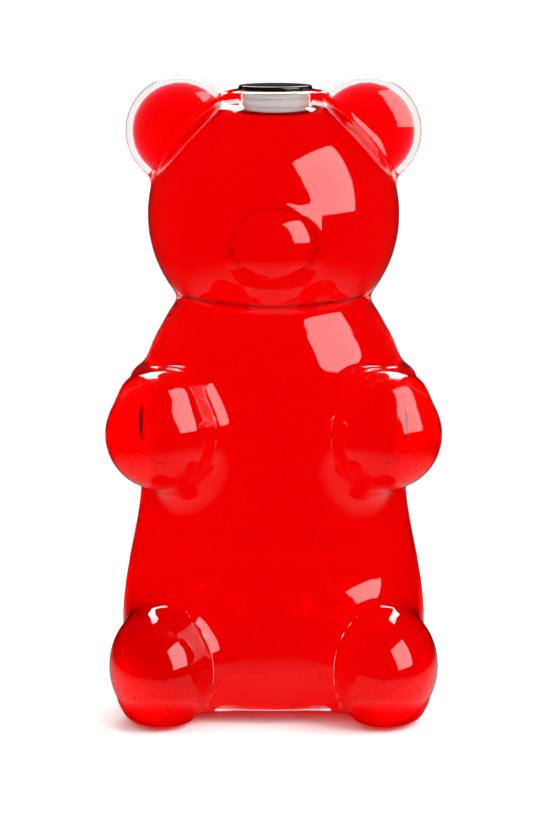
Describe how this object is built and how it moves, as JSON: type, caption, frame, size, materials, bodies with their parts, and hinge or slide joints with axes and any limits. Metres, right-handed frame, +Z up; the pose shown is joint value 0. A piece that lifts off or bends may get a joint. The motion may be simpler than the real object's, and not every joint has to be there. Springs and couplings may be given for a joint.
{
  "type": "figural glass bottle",
  "caption": "Hollow moulded glass bottle in the shape of a seated bear, closed by a flat round stopper in the crown of its head.",
  "frame": {"origin": "middle of the footprint's box, on the standing plane", "axes": "+Z up through the head, -Y the way the bear faces, +X to the right of a viewer in front of it"},
  "size_m": [0.1152, 0.1014, 0.22],
  "materials": {
    "red_glass": "clear glass outside over a transparent red inner layer, glossy, faint orange peel from the mould",
    "black_plastic": "gloss",
    "natural_plastic": "undyed and milky, satin",
    "silicone": "undyed and milky, satin"
  },
  "bodies": {
    "glass": {"bear_shell": "red_glass"},
    "stopper": {"stopper_cap": "black_plastic", "stopper_plug": "natural_plastic", "upper_seal_ring": "silicone", "lower_seal_ring": "silicone"}
  },
  "joints": [
    {"name": "stopper_lift", "type": "slide", "parent": "glass", "child": "stopper", "axis": [0, 0, 1], "range_m": [0, 0.04]}
  ]
}
